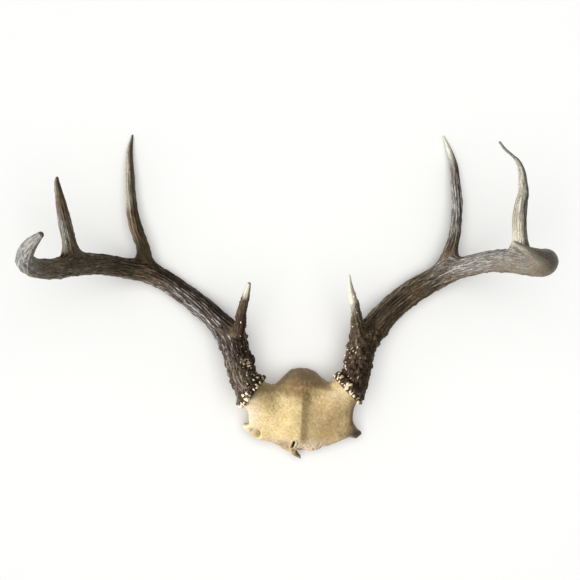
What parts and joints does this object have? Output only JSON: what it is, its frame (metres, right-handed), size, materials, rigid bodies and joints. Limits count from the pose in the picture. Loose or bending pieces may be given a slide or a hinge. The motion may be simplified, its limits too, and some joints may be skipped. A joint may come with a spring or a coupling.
{
  "type": "deer antler rack",
  "caption": "Pair of branching deer antlers grown from a sawn-off skull plate, lying on its back.",
  "frame": {"origin": "middle of the bridge of bone between the two hollows of the sawn face, on that face", "axes": "+Z out of the forehead, away from the surface it rests on; +Y from the nasal edge over the crown to the tine tips; +X across the rack, to the right as the forehead faces the viewer"},
  "size_m": [0.4427, 0.3257, 0.2606],
  "materials": {
    "skull_bone": "matte",
    "antler_beam": "satin",
    "antler_tine": "satin"
  },
  "bodies": {
    "root": {"skull_plate": "skull_bone", "left_main_beam": "antler_beam", "left_brow_tine": "antler_tine", "left_second_tine": "antler_tine", "left_third_tine": "antler_tine", "right_main_beam": "antler_beam", "right_brow_tine": "antler_tine", "right_second_tine": "antler_tine", "right_third_tine": "antler_tine"}
  },
  "joints": []
}
